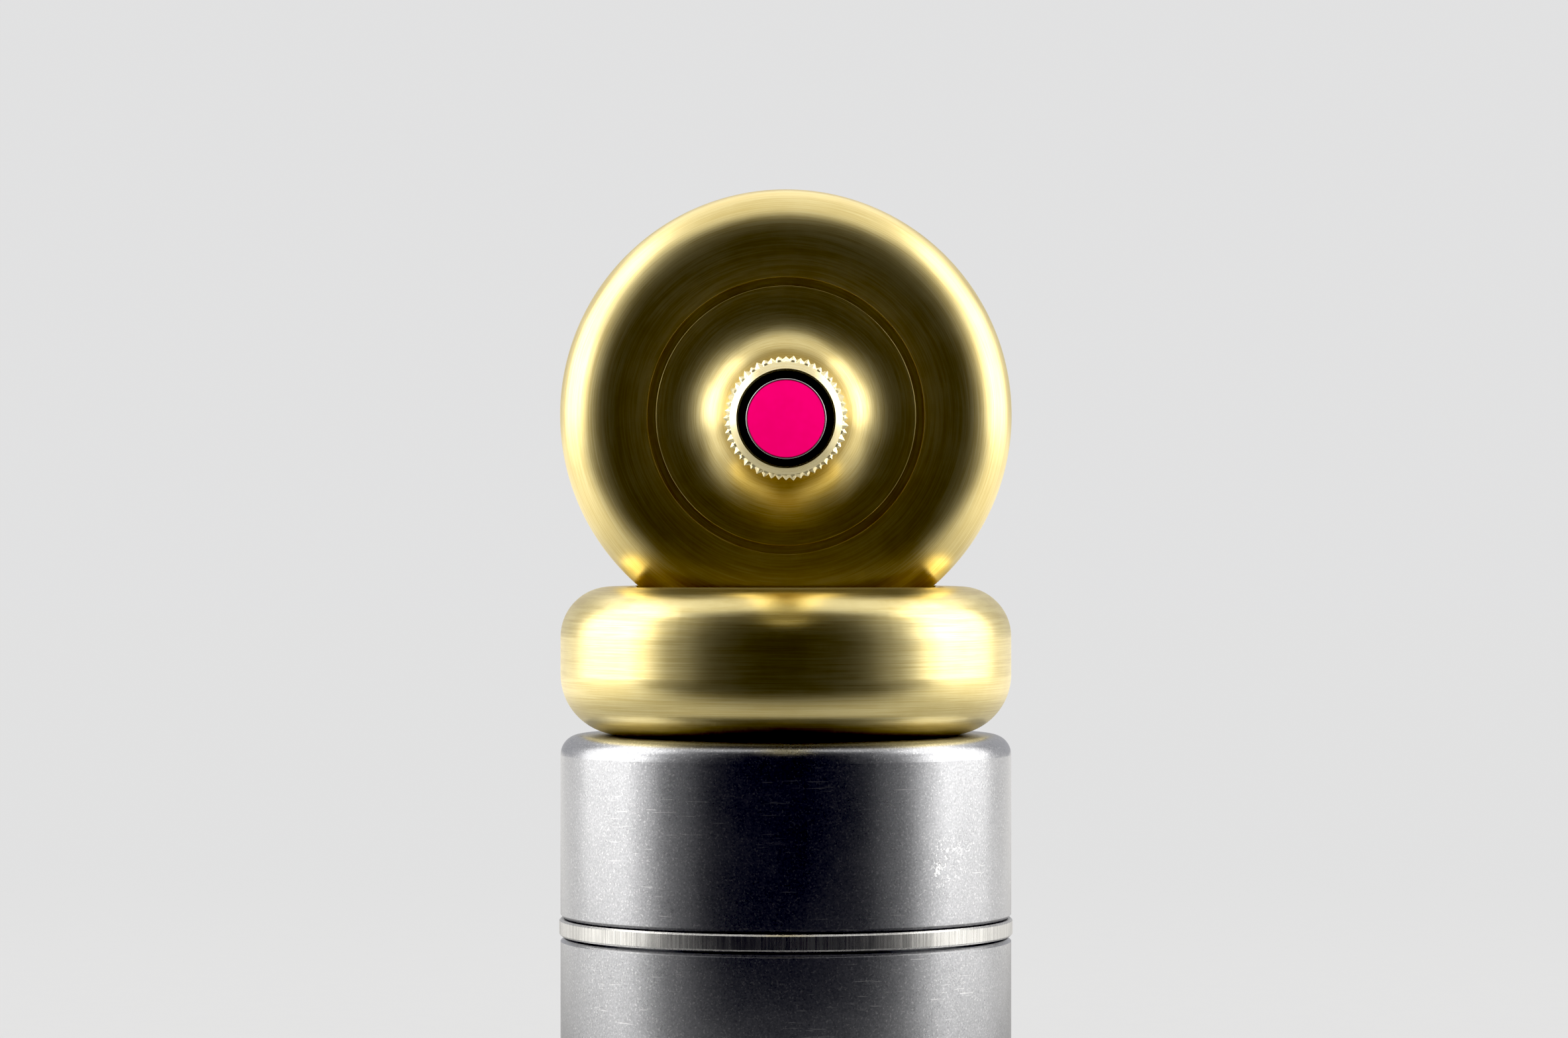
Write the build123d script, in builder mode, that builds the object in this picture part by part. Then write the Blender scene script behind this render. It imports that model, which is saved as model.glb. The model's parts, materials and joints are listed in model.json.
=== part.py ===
from build123d import *
import math
import os

# A push-button bicycle bell that stands on top of a bicycle's steerer tube. Millimetres.
#
# +Z is up and the origin is the centre of the base's underside. The button faces -Y.
# A base is held down by the headset bolt. A barrel turns on the base's spigot, with a lock
# ring between them. A brass collar on the barrel carries a strap, the strap carries the
# movement, and the gong hangs on the movement's post with its rim sunk in the collar.
# Pressing the button slides a rack along Y, and the rack swings the hammer at the gong.

# ---- Driving dimensions ----

outer_r = 18.0              # base, barrel, collar and gong share this radius
edge_chamfer = 0.25         # broken edges of the aluminium parts

cup_height = 16.0           # base, from its underside to the ledge under the lock ring
recess_r = 14.45            # recess over the end of a 28.6 mm steerer tube
recess_depth = 2.0
bolt_hole_r = 3.25          # clearance for the M6 headset bolt
bolt_floor = 4.0            # metal under the bolt's head
well_r = 9.0                # room for the bolt's head and its key

ring_height = 1.35          # lock ring
ring_proud = 0.1            # the ring stands this far outside the barrel
ring_seat = 2.4             # from the outer radius in to the ring's thread
ring_gap_below = 0.2
ring_gap_above = 0.1

barrel_height = 14.55
barrel_round = 1.6
barrel_wall = 4.05
barrel_top_wall = 4.7
spigot_gap = 0.5            # between the spigot's end and the barrel's top wall

ring_chamfer = 0.15

oring_wire_r = 0.65
oring_side = 0.25           # room beside the O-ring in its groove
oring_height = 1.5          # its centre, above the barrel's lower edge
retainer_drop = 2.5         # grub screws, below the spigot's end
retainer_r = 1.5            # M3 grub screw
retainer_groove_depth = 1.2
retainer_tip_gap = 0.3      # screw's tip to the groove's bottom
retainer_inset = 0.6        # screw's outer end, under the barrel's surface
retainer_socket = 1.5
retainer_socket_depth = 1.8

collar_height = 11.8
collar_top_round = 4.0
collar_foot_round = 4.8
collar_screw_ring = 9.0     # radius on which the three screws stand
collar_screw_r = 1.5
collar_screw_head_r = 2.75
collar_screw_head = 2.0
collar_screw_bite = 4.4     # thread in the collar
collar_screw_room = 0.3     # hole beyond the screw's end
collar_screw_socket = 2.5
collar_screw_socket_depth = 1.3

gong_depth = 11.9
gong_wall = 1.8
gong_sink = 4.3             # how far the rim sits below the collar's top
head_lean = 1.5             # degrees that the head's axis points down towards the button
rim_round = 4.8
mouth_round = 1.4
flare_r = 5.6               # trumpet-shaped hollow in the gong's face
groove_width = 0.7
groove_depth = 0.3
groove_inset = 0.45         # from the flare's edge to the groove
cradle_gap = 0.5            # the gong rings free of the collar by this much
hub_length = 4.55

neck_r = 4.2                # gong's neck and the stem behind the bezel
sleeve_wall = 1.0
post_wall = 0.7             # stem's wall where it is screwed on the post
post_front = 7.9            # from the gong's seat forward to the post's end
washer = 0.4
front_washer_t = 0.3
flange_rim = 1.5            # from the post out to the flange's edge
flange_t = 1.0
spot_gap = 0.3              # round the flange, in the gong's spot face

sleeve_length = 19.6
bezel_over = 0.1            # the knurl's roots stand this far outside the stem
bezel_tooth = 0.35
bezel_teeth = 52
bezel_length = 5.8
bezel_lip = 1.4
bezel_thread_wall = 0.35    # the sleeve is turned down this much for the bezel's thread
bezel_rear_chamfer = 0.3
bezel_rear_slope = 0.5
bead_width = 0.24
bush_side = 0.53            # wall of the black bush
bush_flange_t = 1.1
bush_proud = 0.1

button_shoulder = 0.26      # step from the cap out to the stem's bore
button_rim = 0.12
button_travel = 3.0
button_rest = 0.1           # the cap still stands this far out when fully pressed
insert_t = 1.1
insert_crown = 0.18
cap_flange_t = 0.6

rod_r = 1.8
rod_in_cap = 4.0
spring_wire_r = 0.25
spring_turns = 9

rod_short = 0.6             # rod's end, in front of the strap
rack_margin = 0.25          # flat on the rod beyond the rack's end gaps

module = 0.4                # of the rack and the hammer's toothed sector
pressure_angle = 20.0
sector_r = 4.4              # pitch radius: 22 teeth on a full wheel
sector_clearance = 0.1      # at the roots
backlash = 0.06
rack_sunk = 0.9             # rack's pitch line below the rod's top
pivot_set = 4.4             # pivot's distance behind the flange
lever_t = 2.4
arm_width = 1.5
hub_r = 1.9
hammer_r = 1.7
hammer_flat = 1.35          # from the ball's middle to the flat that meets the arm
hammer_pin_r = 0.7
strike_gap = 0.15           # hammer to gong at full press: the arm springs across it

cheek_gap = 0.2             # between the rod's side and a cheek
cheek_t = 1.4
cheek_half = 2.6
cheek_round = 1.4
block_width = 11.0
block_height = 9.0
block_t = 2.4
block_round = 1.0
pin_r = 0.8
bush_wall = 0.5
spacer_t = 0.3
spacer_r = 1.6
clip_r = 1.6
clip_t = 0.3
clip_groove = 0.25
pin_end = 0.45              # pin beyond the outer face of a cheek

strap_t = 2.5
strap_width = 13.2
strap_top = 6.0             # strap's top above the head axis
strap_sunk = 7.5            # strap's lower end, below the collar's top
strap_back_off = 0.65       # from the gong's mouth to the strap
strap_rod_room = 0.4        # round the rod where it passes the strap
strap_screw_x = 4.0
strap_screw_drop = 4.4      # below the collar's top
strap_screw_wall = 3.05     # collar left under the screw's head
frame_screw_x = 3.6
frame_screw_z = 2.6
frame_screw_r = 1.0
frame_screw_head_r = 1.7
frame_screw_head = 1.2
frame_screw_short = 0.2     # screw's end, under the block's front face
frame_screw_socket = 1.3
frame_screw_socket_depth = 0.8

# ---- Clearances ----

running = 0.05              # one part turns or slides in another
guide = 0.04                # rod and pin in their bores
thread_gap = 0.02           # a screw in its thread, or a part pushed on another
free = 0.1                  # screws in plain holes, and faces that only pass each other
over = 1.0                  # cuts run this far past a surface

# ---- Places worked out from the sizes ----

ring_z = cup_height + ring_gap_below
barrel_z = ring_z + ring_height + ring_gap_above
collar_z = barrel_z + barrel_height
collar_top = collar_z + collar_height
head_z = collar_top - gong_sink + outer_r
barrel_ceiling = collar_z - barrel_top_wall
spigot_top = barrel_ceiling - spigot_gap
spigot_r = outer_r - barrel_wall - running
ring_thread_r = outer_r - ring_seat
oring_z = barrel_z + oring_height
retainer_z = spigot_top - retainer_drop

post_r = neck_r - post_wall
flange_r = post_r + flange_rim
sleeve_bore_r = neck_r - sleeve_wall
bezel_thread_r = neck_r - bezel_thread_wall
bezel_root_r = neck_r + bezel_over
bezel_tip_r = bezel_root_r + bezel_tooth
button_r = sleeve_bore_r - button_shoulder
bush_bore_r = button_r + guide
bush_r = bush_bore_r + bush_side
bush_flange_r = bezel_thread_r - running
bead_r = bush_r + bead_width
spring_r = (rod_r + sleeve_bore_r) / 2

face_y = -gong_depth / 2
mouth_y = gong_depth / 2
neck_y = face_y - flare_r
hub_y = neck_y + hub_length
flange_y = hub_y + washer
flange_back = flange_y + flange_t
post_y = hub_y - post_front
sleeve_back = neck_y - front_washer_t
sleeve_front = sleeve_back - sleeve_length
bezel_seat = sleeve_front - bush_flange_t
bezel_y = bezel_seat - bezel_lip
bezel_back = bezel_y + bezel_length
bush_y = bezel_y - bush_proud
cap_flange_y = sleeve_front + free
cap_back = cap_flange_y + cap_flange_t
cap_y = bush_y - button_travel - button_rest
rod_y = cap_back - rod_in_cap

strap_y = mouth_y + strap_back_off
strap_back = strap_y + strap_t
strap_foot_z = collar_top - strap_sunk - head_z
strap_screw_z = collar_top - strap_screw_drop - head_z
block_y = strap_y - block_t
rod_end = strap_y - rod_short

cheek_in = rod_r + cheek_gap
hub_half = cheek_in - spacer_t - free
rack_pitch_z = rod_r - rack_sunk
pivot_y = flange_back + pivot_set
pivot_z = rack_pitch_z + sector_r
gong_inner_r = outer_r - gong_wall
arm_length = gong_inner_r - strike_gap - hammer_r - pivot_z
swing = button_travel / sector_r
tooth_pitch = math.pi * module
teeth_used = math.ceil(button_travel / tooth_pitch)

# The head's own frame: y runs back along its leaning axis, and z is measured up from the axis.
head_back = (0, math.cos(math.radians(head_lean)), math.sin(math.radians(head_lean)))
head_side = Plane(origin=(0, 0, head_z), x_dir=head_back, z_dir=(1, 0, 0))
head_axis = Axis((0, 0, head_z), head_back)
pivot_point = head_side.from_local_coords((pivot_y, pivot_z, 0))
pivot_side = Plane(origin=pivot_point, x_dir=head_back, z_dir=(1, 0, 0))
pivot_axis = Axis(pivot_point, (1, 0, 0))
screw_angles = (30, 90, 150)
collar_screw_angles = (30, 150, 270)


def turn(points, side, axis, mode=Mode.ADD):
    """Turn a closed outline, drawn on a side plane, about an axis."""
    with BuildSketch(side) as outline:
        with BuildLine():
            Polyline(*points, close=True)
        make_face()
    revolve(outline.sketch, axis=axis, mode=mode)


def ring_cut(inner, outer, low, high):
    """Cut a square-sided ring about Z."""
    turn([(inner, low), (outer, low), (outer, high), (inner, high)], Plane.XZ, Axis.Z, Mode.SUBTRACT)


def head_tube(inner, outer, front, back, mode=Mode.ADD):
    """Add or cut a tube about the head's axis, from front to back."""
    turn([(front, inner), (back, inner), (back, outer), (front, outer)], head_side, head_axis, mode)


def pivot_tube(inner, outer, start, end, mode=Mode.ADD):
    """Add or cut a tube about the hammer's pivot, from start to end along X."""
    side = Plane(origin=pivot_side.origin, x_dir=(1, 0, 0), z_dir=(0, -1, 0))
    turn([(start, inner), (end, inner), (end, outer), (start, outer)], side, pivot_axis, mode)


def radial_plane(angle, radius, height):
    """Plane that faces straight out from the Z axis."""
    out = (math.cos(math.radians(angle)), math.sin(math.radians(angle)), 0)
    return Plane(origin=(radius * out[0], radius * out[1], height), x_dir=(0, 0, 1), z_dir=out)


def rear_plane(x, y, z):
    """Plane across the head's axis that faces back, at a place in the head's own frame."""
    return Plane(origin=head_side.from_local_coords((y, z, x)), x_dir=(-1, 0, 0), z_dir=head_back)


def round_edges(part, radius):
    """Circular edges of one radius about Z."""
    circles = part.edges().filter_by(GeomType.CIRCLE)
    return circles.filter_by(lambda edge: abs(edge.radius - radius) < 0.001)


def drill(planes, radius, depth, mode=Mode.SUBTRACT):
    """Cut or add a round bar from each plane, along the plane's normal."""
    with BuildSketch(*planes) as holes:
        Circle(radius)
    extrude(holes.sketch, amount=depth, mode=mode)


def hex_socket(planes, across, depth):
    """Cut a hexagon socket down into a screw's end from each plane."""
    with BuildSketch(*planes) as sockets:
        RegularPolygon(radius=across / 2, side_count=6, major_radius=False)
    extrude(sockets.sketch, amount=-depth, mode=Mode.SUBTRACT)


def involute_point(radius, half_angle):
    """Point on a sector tooth's flank, measured from the tooth's middle line."""
    base_r = sector_r * math.cos(math.radians(pressure_angle))
    roll = math.acos(base_r / max(radius, base_r))
    turned = math.tan(roll) - roll
    return radius, half_angle - turned


def tooth_outline(middle):
    """Outline of one sector tooth, from its left root to its right root."""
    roll = math.radians(pressure_angle)
    half = (tooth_pitch / 2 - backlash / 2) / 2 / sector_r + math.tan(roll) - roll
    root_r = sector_r - module - sector_clearance
    heights = (-0.6, 0.0, 0.5, 1.0)
    radii = [root_r] + [sector_r + height * module for height in heights]
    flank = [involute_point(radius, half) for radius in radii]
    left = [(radius, middle - angle) for radius, angle in flank]
    right = [(radius, middle + angle) for radius, angle in reversed(flank)]
    return [(radius * math.sin(angle), -radius * math.cos(angle)) for radius, angle in left + right]


# ---- Base ----

with BuildPart() as base_cup:
    thread_top = barrel_z - ring_gap_above - running
    turn(
        [
            (0, 0),
            (outer_r, 0),
            (outer_r, cup_height),
            (ring_thread_r, cup_height),
            (ring_thread_r, thread_top),
            (spigot_r, thread_top),
            (spigot_r, spigot_top),
            (0, spigot_top),
        ],
        Plane.XZ,
        Axis.Z,
    )
    chamfer(round_edges(base_cup, outer_r), edge_chamfer)
    ring_cut(0, recess_r, 0, recess_depth)
    ring_cut(0, bolt_hole_r, 0, spigot_top)
    ring_cut(0, well_r, recess_depth + bolt_floor, spigot_top)
    oring_seat_r = spigot_r - 2 * oring_wire_r - thread_gap
    oring_half = oring_wire_r + oring_side
    ring_cut(oring_seat_r, spigot_r + over, oring_z - oring_half, oring_z + oring_half)
    retainer_low = retainer_z - retainer_r - free
    retainer_high = retainer_z + retainer_r + free
    ring_cut(spigot_r - retainer_groove_depth, spigot_r + over, retainer_low, retainer_high)
base_cup.part.label = "base_cup"

with BuildPart() as swivel_oring:
    with BuildSketch(Plane.XZ):
        with Locations((spigot_r - oring_wire_r, oring_z)):
            Circle(oring_wire_r)
    revolve(axis=Axis.Z)
swivel_oring.part.label = "swivel_oring"

with BuildPart() as lock_ring:
    ring_bore_r = ring_thread_r + running
    ring_r = outer_r + ring_proud
    ring_top = ring_z + ring_height
    turn(
        [(ring_bore_r, ring_z), (ring_r, ring_z), (ring_r, ring_top), (ring_bore_r, ring_top)],
        Plane.XZ,
        Axis.Z,
    )
    chamfer(round_edges(lock_ring, ring_r), ring_chamfer)
lock_ring.part.label = "lock_ring"

# ---- Barrel, which turns on the base ----

barrel_bore_r = spigot_r + running
collar_screw_places = []
for angle in collar_screw_angles:
    turned_x = collar_screw_ring * math.cos(math.radians(angle))
    turned_y = collar_screw_ring * math.sin(math.radians(angle))
    collar_screw_places.append((turned_x, turned_y))
screw_seat_z = barrel_ceiling + collar_screw_head + free

with BuildPart() as barrel:
    turn(
        [
            (barrel_bore_r, barrel_z),
            (outer_r, barrel_z),
            (outer_r, collar_z),
            (0, collar_z),
            (0, barrel_ceiling),
            (barrel_bore_r, barrel_ceiling),
        ],
        Plane.XZ,
        Axis.Z,
    )
    fillet(round_edges(barrel, outer_r).sort_by(Axis.Z)[-1], barrel_round)
    chamfer(round_edges(barrel, outer_r).sort_by(Axis.Z)[0], edge_chamfer)
    with BuildSketch(Plane.XY.offset(barrel_ceiling)):
        with Locations(*collar_screw_places):
            Circle(collar_screw_head_r + free)
    extrude(amount=collar_screw_head + free, mode=Mode.SUBTRACT)
    with BuildSketch(Plane.XY.offset(barrel_ceiling)):
        with Locations(*collar_screw_places):
            Circle(collar_screw_r + free)
    extrude(amount=barrel_top_wall, mode=Mode.SUBTRACT)
    hole_planes = [radial_plane(angle, 0, retainer_z) for angle in screw_angles]
    drill(hole_planes, retainer_r + thread_gap, outer_r + over)
barrel.part.label = "barrel"

with BuildPart() as retaining_screws:
    tip_r = spigot_r - retainer_groove_depth + retainer_tip_gap
    end_r = outer_r - retainer_inset
    tips = [radial_plane(angle, tip_r, retainer_z) for angle in screw_angles]
    ends = [radial_plane(angle, end_r, retainer_z) for angle in screw_angles]
    drill(tips, retainer_r, end_r - tip_r, Mode.ADD)
    hex_socket(ends, retainer_socket, retainer_socket_depth)
retaining_screws.part.label = "retaining_screws"

with BuildPart() as collar:
    turn(
        [(0, collar_z), (outer_r, collar_z), (outer_r, collar_top), (0, collar_top)],
        Plane.XZ,
        Axis.Z,
    )
    fillet(round_edges(collar, outer_r).sort_by(Axis.Z)[-1], collar_top_round)
    fillet(round_edges(collar, outer_r).sort_by(Axis.Z)[0], collar_foot_round)
    head_tube(0, outer_r + cradle_gap, face_y - cradle_gap, strap_y, Mode.SUBTRACT)
    with BuildSketch(rear_plane(0, strap_y - running, 0)):
        with Locations((0, strap_foot_z + collar_height / 2)):
            Rectangle(strap_width + 2 * running, collar_height)
    extrude(amount=strap_t + 2 * running, mode=Mode.SUBTRACT)
    with BuildSketch(Plane.XY.offset(collar_z)):
        with Locations(*collar_screw_places):
            Circle(collar_screw_r + thread_gap)
    extrude(amount=collar_screw_bite + collar_screw_room, mode=Mode.SUBTRACT)
    strap_holes = [rear_plane(side * strap_screw_x, strap_back, strap_screw_z) for side in (-1, 1)]
    drill(strap_holes, collar_screw_r + free, outer_r)
    head_seats = [plane.offset(strap_screw_wall) for plane in strap_holes]
    drill(head_seats, collar_screw_head_r + free, outer_r)
collar.part.label = "collar"

with BuildPart() as collar_screws:
    with BuildSketch(Plane.XY.offset(screw_seat_z)):
        with Locations(*collar_screw_places):
            Circle(collar_screw_head_r)
    extrude(amount=-collar_screw_head)
    with BuildSketch(Plane.XY.offset(screw_seat_z)):
        with Locations(*collar_screw_places):
            Circle(collar_screw_r)
    extrude(amount=collar_z + collar_screw_bite - screw_seat_z)
    head_faces = []
    for x, y in collar_screw_places:
        head_faces.append(Plane(origin=(x, y, screw_seat_z - collar_screw_head), z_dir=(0, 0, -1)))
    hex_socket(head_faces, collar_screw_socket, collar_screw_socket_depth)
collar_screws.part.label = "collar_screws"

# ---- Strap behind the gong ----

frame_screw_places = []
for side_x in (-1, 1):
    for side_z in (-1, 1):
        frame_screw_places.append((side_x * frame_screw_x, side_z * frame_screw_z))

with BuildPart() as bell_bracket:
    round_z = strap_top - strap_width / 2
    with BuildSketch(rear_plane(0, strap_y, 0)):
        with Locations((0, round_z)):
            Circle(strap_width / 2)
        with Locations((0, (strap_foot_z + round_z) / 2)):
            Rectangle(strap_width, round_z - strap_foot_z)
    extrude(amount=strap_t)
    drill([rear_plane(0, strap_y, 0)], rod_r + strap_rod_room, strap_t)
    strap_drillings = [rear_plane(x, strap_y, z) for x, z in frame_screw_places]
    drill(strap_drillings, frame_screw_r + free, strap_t)
    tapped = [rear_plane(side * strap_screw_x, strap_y, strap_screw_z) for side in (-1, 1)]
    drill(tapped, collar_screw_r + thread_gap, strap_t)
bell_bracket.part.label = "bell_bracket"

with BuildPart() as bracket_screws:
    seat_y = strap_back + strap_screw_wall
    seats = [rear_plane(side * strap_screw_x, seat_y, strap_screw_z) for side in (-1, 1)]
    drill(seats, collar_screw_head_r, collar_screw_head, Mode.ADD)
    drill(seats, collar_screw_r, -(strap_screw_wall + strap_t - free), Mode.ADD)
    faces = [plane.offset(collar_screw_head) for plane in seats]
    hex_socket(faces, collar_screw_socket, collar_screw_socket_depth)
bracket_screws.part.label = "bracket_screws"

# ---- Movement frame ----

rod_bore_r = rod_r + guide

with BuildPart() as movement_frame:
    turn(
        [
            (post_y, rod_bore_r),
            (post_y, post_r),
            (flange_y, post_r),
            (flange_y, flange_r),
            (flange_back, flange_r),
            (flange_back, rod_bore_r),
        ],
        head_side,
        head_axis,
    )
    with BuildSketch(head_side.offset(cheek_in)):
        with BuildLine():
            Polyline(
                (flange_back, -cheek_half),
                (block_y, -cheek_half),
                (block_y, cheek_half),
                (pivot_y + hub_r, pivot_z + hub_r),
                (pivot_y - hub_r, pivot_z + hub_r),
                (flange_back, cheek_half),
                close=True,
            )
        make_face()
        fillet(vertices().group_by(Axis.Y)[-1], cheek_round)
    extrude(amount=cheek_t)
    mirror(about=Plane.YZ)
    with BuildSketch(rear_plane(0, block_y, 0)):
        RectangleRounded(block_width, block_height, block_round)
    extrude(amount=block_t)
    drill([rear_plane(0, block_y, 0)], rod_bore_r, block_t)
    tappings = [rear_plane(x, block_y, z) for x, z in frame_screw_places]
    drill(tappings, frame_screw_r + thread_gap, block_t)
    pivot_tube(0, pin_r + thread_gap, -block_width, block_width, Mode.SUBTRACT)
movement_frame.part.label = "movement_frame"

with BuildPart() as frame_screws:
    frame_seats = [rear_plane(x, strap_back, z) for x, z in frame_screw_places]
    drill(frame_seats, frame_screw_head_r, frame_screw_head, Mode.ADD)
    drill(frame_seats, frame_screw_r, -(strap_t + block_t - frame_screw_short), Mode.ADD)
    frame_faces = [plane.offset(frame_screw_head) for plane in frame_seats]
    hex_socket(frame_faces, frame_screw_socket, frame_screw_socket_depth)
frame_screws.part.label = "frame_screws"

with BuildPart() as rear_washer:
    head_tube(post_r + free, flange_r, hub_y, flange_y)
rear_washer.part.label = "rear_washer"

with BuildPart() as front_washer:
    head_tube(post_r + free, neck_r, sleeve_back, neck_y)
front_washer.part.label = "front_washer"

# ---- Gong ----

with BuildPart() as gong:
    flare_edge = neck_r + flare_r
    rim_flat = outer_r - rim_round
    rim_y = face_y + rim_round
    spot_r = flange_r + spot_gap
    inner_flare = flare_r + gong_wall
    inner_start = math.degrees(math.asin((spot_r - flare_edge) / inner_flare))
    hole_r = post_r + free
    with BuildSketch(head_side):
        with BuildLine():
            Line((neck_y, hole_r), (neck_y, neck_r))
            CenterArc((neck_y, flare_edge), flare_r, -90, 90)
            Line((face_y, flare_edge), (face_y, rim_flat))
            CenterArc((rim_y, rim_flat), rim_round, 90, 90)
            Line((rim_y, outer_r), (mouth_y - mouth_round, outer_r))
            CenterArc((mouth_y - mouth_round, outer_r - mouth_round), mouth_round, 0, 90)
            Line((mouth_y, outer_r - mouth_round), (mouth_y, gong_inner_r))
            Line((mouth_y, gong_inner_r), (rim_y, gong_inner_r))
            CenterArc((rim_y, rim_flat), rim_round - gong_wall, 90, 90)
            Line((face_y + gong_wall, rim_flat), (face_y + gong_wall, flare_edge))
            inner_arc = CenterArc((neck_y, flare_edge), inner_flare, inner_start, -inner_start)
            Line(inner_arc @ 0, (hub_y, spot_r))
            Line((hub_y, spot_r), (hub_y, hole_r))
            Line((hub_y, hole_r), (neck_y, hole_r))
        make_face()
    revolve(axis=head_axis)
    groove_r = flare_edge + groove_inset
    head_tube(groove_r, groove_r + groove_width, face_y - over, face_y + groove_depth, Mode.SUBTRACT)
gong.part.label = "gong"

# ---- Stem and button ----

with BuildPart() as neck_sleeve:
    head_tube(sleeve_bore_r, neck_r, sleeve_front, sleeve_back)
    head_tube(bezel_thread_r, neck_r + over, sleeve_front - over, bezel_back + free, Mode.SUBTRACT)
    head_tube(0, post_r + thread_gap, post_y - free, sleeve_back, Mode.SUBTRACT)
neck_sleeve.part.label = "neck_sleeve"

with BuildPart() as bezel_nut:
    tooth_points = []
    for step in range(2 * bezel_teeth):
        tooth_r = bezel_tip_r if step % 2 == 0 else bezel_root_r
        tooth_angle = math.pi * step / bezel_teeth
        tooth_points.append((tooth_r * math.cos(tooth_angle), tooth_r * math.sin(tooth_angle)))
    with BuildSketch(rear_plane(0, bezel_y, 0)):
        with BuildLine():
            Polyline(*tooth_points, close=True)
        make_face()
    extrude(amount=bezel_length)
    past_r = bezel_tip_r + bezel_rear_chamfer
    turn(
        [(bezel_y, bead_r), (bezel_y, past_r), (bezel_y + past_r - bead_r, past_r)],
        head_side,
        head_axis,
        Mode.SUBTRACT,
    )
    back_edge_r = bezel_tip_r - bezel_rear_chamfer
    turn(
        [(bezel_back, back_edge_r), (bezel_back, past_r), (bezel_back - bezel_rear_slope, past_r)],
        head_side,
        head_axis,
        Mode.SUBTRACT,
    )
    head_tube(0, bush_r + thread_gap, bezel_y - over, bezel_back, Mode.SUBTRACT)
    head_tube(0, bezel_thread_r + thread_gap, bezel_seat, bezel_back, Mode.SUBTRACT)
bezel_nut.part.label = "bezel_nut"

with BuildPart() as guide_bush:
    turn(
        [
            (bush_y, bush_bore_r),
            (bush_y, bush_r),
            (bezel_seat, bush_r),
            (bezel_seat, bush_flange_r),
            (sleeve_front, bush_flange_r),
            (sleeve_front, bush_bore_r),
        ],
        head_side,
        head_axis,
    )
guide_bush.part.label = "guide_bush"

with BuildPart() as button_cap:
    insert_seat = cap_y + insert_t
    socket_r = rod_r + thread_gap
    turn(
        [
            (insert_seat, 0),
            (insert_seat, button_r - button_rim),
            (cap_y, button_r - button_rim),
            (cap_y, button_r),
            (cap_flange_y, button_r),
            (cap_flange_y, sleeve_bore_r - running),
            (cap_back, sleeve_bore_r - running),
            (cap_back, socket_r),
            (rod_y - thread_gap, socket_r),
            (rod_y - thread_gap, 0),
        ],
        head_side,
        head_axis,
    )
button_cap.part.label = "button_cap"

with BuildPart() as button_insert:
    insert_r = button_r - button_rim - thread_gap
    with BuildSketch(head_side):
        with BuildLine():
            Polyline((cap_y, insert_r), (insert_seat, insert_r), (insert_seat, 0), (cap_y - insert_crown, 0))
            half_way = (cap_y - 0.75 * insert_crown, insert_r / 2)
            ThreePointArc((cap_y - insert_crown, 0), half_way, (cap_y, insert_r))
        make_face()
    revolve(axis=head_axis)
button_insert.part.label = "button_insert"

with BuildPart() as plunger_rod:
    head_tube(0, rod_r, rod_y, rod_end)
    lean = math.tan(math.radians(pressure_angle))
    rack_top = rack_pitch_z + module
    rack_root = rack_pitch_z - module - sector_clearance
    half_top = tooth_pitch / 4 + module * lean
    half_root = tooth_pitch / 4 - (module + sector_clearance) * lean
    gaps = [pivot_y + tooth_pitch * step for step in range(-teeth_used - 1, 2)]
    flat_front = gaps[0] - half_top - rack_margin
    flat_back = gaps[-1] + half_top + rack_margin
    rack_cut = [(flat_front, rod_r + over), (flat_front, rack_top)]
    for gap_y in gaps:
        rack_cut += [(gap_y - half_top, rack_top), (gap_y - half_root, rack_root)]
        rack_cut += [(gap_y + half_root, rack_root), (gap_y + half_top, rack_top)]
    rack_cut += [(flat_back, rack_top), (flat_back, rod_r + over)]
    with BuildSketch(head_side):
        with BuildLine():
            Polyline(*rack_cut, close=True)
        make_face()
    extrude(amount=rod_r + over, both=True, mode=Mode.SUBTRACT)
plunger_rod.part.label = "plunger_rod"

with BuildPart() as return_spring:
    spring_start = cap_back + spring_wire_r
    spring_length = post_y - spring_wire_r - spring_start
    with BuildLine() as coil:
        Helix(
            pitch=spring_length / spring_turns,
            height=spring_length,
            radius=spring_r,
            center=head_side.from_local_coords((spring_start, 0, 0)),
            direction=head_back,
        )
    with BuildSketch(Plane(origin=coil.line @ 0, z_dir=coil.line % 0)):
        Circle(spring_wire_r)
    sweep(is_frenet=True)
return_spring.part.label = "return_spring"

# ---- Hammer ----

with BuildPart() as hammer_lever:
    sector_points = [(0, 0)]
    for step in range(-teeth_used, 2):
        sector_points += tooth_outline(step * tooth_pitch / sector_r)
    arm_shoulder = arm_length - hammer_flat
    with BuildSketch(pivot_side.offset(-lever_t / 2)):
        with BuildLine():
            Polyline(*sector_points, close=True)
        make_face()
        Circle(hub_r)
        with Locations(Location((0, 0, 0), (0, 0, -math.degrees(swing)))):
            with Locations((0, arm_shoulder / 2)):
                Rectangle(arm_width, arm_shoulder)
    extrude(amount=lever_t)
    pivot_tube(0, hub_r, -hub_half, hub_half)
    arm_way = pivot_side.x_dir * math.sin(swing) + pivot_side.y_dir * math.cos(swing)
    arm_end = Plane(origin=pivot_point + arm_way * arm_shoulder, x_dir=(1, 0, 0), z_dir=arm_way)
    with BuildSketch(arm_end):
        Circle(hammer_pin_r)
    extrude(amount=arm_length - arm_shoulder)
    pivot_tube(0, pin_r + guide + bush_wall, -hub_half, hub_half, Mode.SUBTRACT)
hammer_lever.part.label = "hammer_lever"

with BuildPart() as hammer_bush:
    pivot_tube(pin_r + guide, pin_r + guide + bush_wall - thread_gap, -hub_half, hub_half)
hammer_bush.part.label = "hammer_bush"

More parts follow.
